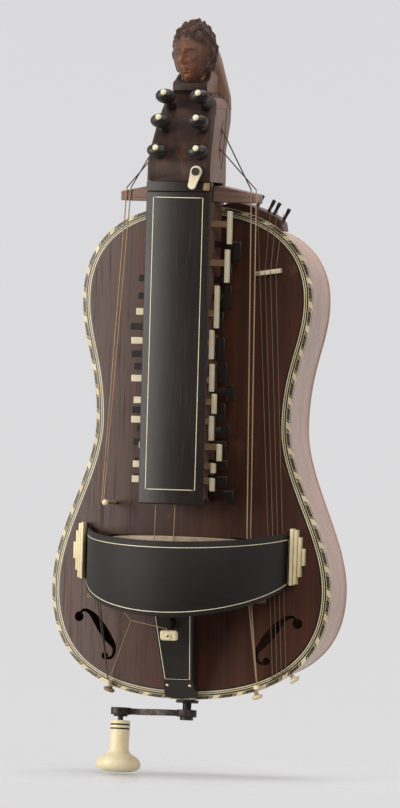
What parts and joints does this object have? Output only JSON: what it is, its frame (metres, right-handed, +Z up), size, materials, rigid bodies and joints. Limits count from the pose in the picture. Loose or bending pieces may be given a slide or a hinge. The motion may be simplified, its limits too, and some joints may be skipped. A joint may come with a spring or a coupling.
{
  "type": "hurdy-gurdy",
  "caption": "Guitar-shaped hurdy-gurdy: a crank turns a wooden wheel that bows the strings, and sliding keys stop them inside a lidded box.",
  "frame": {"origin": "outer face of the flat back panel, on the centre line, half way along the body", "axes": "+Z up the body from the tail and crank to the carved head, -Y is the front with the soundboard, +X to the right seen from the front"},
  "size_m": [0.268, 0.188, 0.6993],
  "materials": {
    "board_wood": "thin satin varnish, dark reddish brown",
    "edge_binding": "bone and ebony blocks in turn, polished",
    "rib_wood": "satin varnish, pinkish brown",
    "inner_wood": "planed, bare",
    "neck_wood": "carved, dark stained and waxed",
    "box_wood": "satin varnish",
    "ebony": "polished black",
    "bone": "polished bone, slightly yellowed",
    "knob_bone": "turned bone, yellowed",
    "wheel_wood": "turned smooth, waxed rim",
    "iron": "forged, dark",
    "gut": "twisted gut, satin",
    "wire": "drawn wire"
  },
  "bodies": {
    "body": {"soundboard": "board_wood", "board_binding": "edge_binding", "back_panel": "rib_wood", "rib_left": "rib_wood", "rib_right": "rib_wood", "neck_block": "inner_wood", "tail_block": "inner_wood", "wheel_bar": "inner_wood", "pegbox": "neck_wood", "nut_board": "neck_wood", "keybox_wall_left": "box_wood", "keybox_wall_right": "box_wood", "keybox_head_block": "ebony", "keybox_end_plate": "box_wood", "cover_strips_left": "bone", "cover_strips_right": "bone", "tail_bearing": "bone", "tailpiece": "ebony", "pin_block": "neck_wood", "melody_strings": "gut", "left_drones": "gut", "right_drones": "gut", "thin_strings": "wire"},
    "wheel_and_crank": {"wheel": "wheel_wood", "axle": "iron", "crank_arm": "iron"},
    "knob": {"crank_knob": "knob_bone"},
    "lid": {"keybox_lid": "ebony"},
    "cover": {"wheel_cover": "ebony"},
    "latch": {"lid_latch": "bone"},
    "buzz_peg": {"buzz_peg": "bone"},
    "key_01_sharp": {"key_01_sharp": "bone"},
    "key_02_natural": {"key_02_natural": "ebony"},
    "key_03_sharp": {"key_03_sharp": "bone"},
    "key_04_natural": {"key_04_natural": "ebony"},
    "key_05_natural": {"key_05_natural": "ebony"},
    "key_06_sharp": {"key_06_sharp": "bone"},
    "key_07_natural": {"key_07_natural": "ebony"},
    "key_08_sharp": {"key_08_sharp": "bone"},
    "key_09_natural": {"key_09_natural": "ebony"},
    "key_10_natural": {"key_10_natural": "ebony"},
    "key_11_sharp": {"key_11_sharp": "bone"},
    "key_12_natural": {"key_12_natural": "ebony"},
    "key_13_sharp": {"key_13_sharp": "bone"},
    "key_14_natural": {"key_14_natural": "ebony"},
    "key_15_sharp": {"key_15_sharp": "bone"},
    "key_16_natural": {"key_16_natural": "ebony"},
    "key_17_natural": {"key_17_natural": "ebony"},
    "key_18_sharp": {"key_18_sharp": "bone"},
    "key_19_natural": {"key_19_natural": "ebony"},
    "key_20_sharp": {"key_20_sharp": "bone"},
    "key_21_natural": {"key_21_natural": "ebony"},
    "key_23_sharp": {"key_23_sharp": "bone"},
    "key_24_natural": {"key_24_natural": "ebony"},
    "peg_left_1": {"peg_left_1": "ebony"},
    "peg_right_1": {"peg_right_1": "ebony"},
    "peg_left_2": {"peg_left_2": "ebony"},
    "peg_right_2": {"peg_right_2": "ebony"},
    "peg_left_3": {"peg_left_3": "ebony"},
    "peg_right_3": {"peg_right_3": "ebony"}
  },
  "joints": [
    {"name": "wheel_turn", "type": "hinge", "parent": "body", "child": "wheel_and_crank", "pos_m": [0, -0.089, -0.091], "axis": [0, 0.0698, 0.9976], "continuous": true},
    {"name": "knob_spin", "type": "hinge", "parent": "wheel_and_crank", "child": "knob", "pos_m": [-0.0635, -0.09974, -0.24453], "axis": [0, 0.0698, 0.9976], "continuous": true},
    {"name": "lid_open", "type": "hinge", "parent": "body", "child": "lid", "pos_m": [-0.031, -0.168, 0.0966], "axis": [0, 0, -1], "range_deg": [0, 110]},
    {"name": "cover_lift", "type": "slide", "parent": "body", "child": "cover", "axis": [0, -1, 0], "range_m": [0, 0.06]},
    {"name": "latch_turn", "type": "hinge", "parent": "body", "child": "latch", "pos_m": [0.0178, -0.1753, 0.258], "axis": [0, -1, 0], "range_deg": [-90, 90]},
    {"name": "buzz_peg_turn", "type": "hinge", "parent": "body", "child": "buzz_peg", "pos_m": [0, -0.15116, -0.154], "axis": [0, -0.6561, -0.7547], "continuous": true},
    {"name": "key_01_sharp_press", "type": "slide", "parent": "body", "child": "key_01_sharp", "axis": [-1, 0, 0], "range_m": [0, 0.0115]},
    {"name": "key_02_natural_press", "type": "slide", "parent": "body", "child": "key_02_natural", "axis": [-1, 0, 0], "range_m": [0, 0.0115]},
    {"name": "key_03_sharp_press", "type": "slide", "parent": "body", "child": "key_03_sharp", "axis": [-1, 0, 0], "range_m": [0, 0.0115]},
    {"name": "key_04_natural_press", "type": "slide", "parent": "body", "child": "key_04_natural", "axis": [-1, 0, 0], "range_m": [0, 0.00754]},
    {"name": "key_05_natural_press", "type": "slide", "parent": "body", "child": "key_05_natural", "axis": [-1, 0, 0], "range_m": [0, 0.00754]},
    {"name": "key_06_sharp_press", "type": "slide", "parent": "body", "child": "key_06_sharp", "axis": [-1, 0, 0], "range_m": [-0.00104, 0.00466]},
    {"name": "key_07_natural_press", "type": "slide", "parent": "body", "child": "key_07_natural", "axis": [-1, 0, 0], "range_m": [-0.00488, 0.00082]},
    {"name": "key_08_sharp_press", "type": "slide", "parent": "body", "child": "key_08_sharp", "axis": [-1, 0, 0], "range_m": [-0.00504, 0.00066]},
    {"name": "key_09_natural_press", "type": "slide", "parent": "body", "child": "key_09_natural", "axis": [-1, 0, 0], "range_m": [-0.00312, 0.00258]},
    {"name": "key_10_natural_press", "type": "slide", "parent": "body", "child": "key_10_natural", "axis": [-1, 0, 0], "range_m": [-0.00024, 0.00546]},
    {"name": "key_11_sharp_press", "type": "slide", "parent": "body", "child": "key_11_sharp", "axis": [-1, 0, 0], "range_m": [-0.00392, 0.00178]},
    {"name": "key_12_natural_press", "type": "slide", "parent": "body", "child": "key_12_natural", "axis": [-1, 0, 0], "range_m": [0, 0.0115]},
    {"name": "key_13_sharp_press", "type": "slide", "parent": "body", "child": "key_13_sharp", "axis": [-1, 0, 0], "range_m": [-0.00104, 0.00466]},
    {"name": "key_14_natural_press", "type": "slide", "parent": "body", "child": "key_14_natural", "axis": [-1, 0, 0], "range_m": [-0.00088, 0.00482]},
    {"name": "key_15_sharp_press", "type": "slide", "parent": "body", "child": "key_15_sharp", "axis": [-1, 0, 0], "range_m": [-0.00296, 0.00274]},
    {"name": "key_16_natural_press", "type": "slide", "parent": "body", "child": "key_16_natural", "axis": [-1, 0, 0], "range_m": [0, 0.00946]},
    {"name": "key_17_natural_press", "type": "slide", "parent": "body", "child": "key_17_natural", "axis": [-1, 0, 0], "range_m": [0, 0.00658]},
    {"name": "key_18_sharp_press", "type": "slide", "parent": "body", "child": "key_18_sharp", "axis": [-1, 0, 0], "range_m": [0, 0.0109]},
    {"name": "key_19_natural_press", "type": "slide", "parent": "body", "child": "key_19_natural", "axis": [-1, 0, 0], "range_m": [0, 0.00818]},
    {"name": "key_20_sharp_press", "type": "slide", "parent": "body", "child": "key_20_sharp", "axis": [-1, 0, 0], "range_m": [-0.00008, 0.00562]},
    {"name": "key_21_natural_press", "type": "slide", "parent": "body", "child": "key_21_natural", "axis": [-1, 0, 0], "range_m": [0, 0.00818]},
    {"name": "key_23_sharp_press", "type": "slide", "parent": "body", "child": "key_23_sharp", "axis": [-1, 0, 0], "range_m": [-0.00072, 0.00498]},
    {"name": "key_24_natural_press", "type": "slide", "parent": "body", "child": "key_24_natural", "axis": [-1, 0, 0], "range_m": [0, 0.0115]},
    {"name": "peg_left_1_turn", "type": "hinge", "parent": "body", "child": "peg_left_1", "pos_m": [-0.0164, -0.14881, 0.31832], "axis": [0, -0.9063, 0.4226], "continuous": true},
    {"name": "peg_right_1_turn", "type": "hinge", "parent": "body", "child": "peg_right_1", "pos_m": [0.0164, -0.14881, 0.31832], "axis": [0, -0.9063, 0.4226], "continuous": true},
    {"name": "peg_left_2_turn", "type": "hinge", "parent": "body", "child": "peg_left_2", "pos_m": [-0.0178, -0.15962, 0.29617], "axis": [0, -0.9063, 0.4226], "continuous": true},
    {"name": "peg_right_2_turn", "type": "hinge", "parent": "body", "child": "peg_right_2", "pos_m": [0.0178, -0.15962, 0.29617], "axis": [0, -0.9063, 0.4226], "continuous": true},
    {"name": "peg_left_3_turn", "type": "hinge", "parent": "body", "child": "peg_left_3", "pos_m": [-0.0192, -0.1725, 0.27324], "axis": [0, -0.9063, 0.4226], "continuous": true},
    {"name": "peg_right_3_turn", "type": "hinge", "parent": "body", "child": "peg_right_3", "pos_m": [0.0192, -0.1725, 0.27324], "axis": [0, -0.9063, 0.4226], "continuous": true}
  ]
}
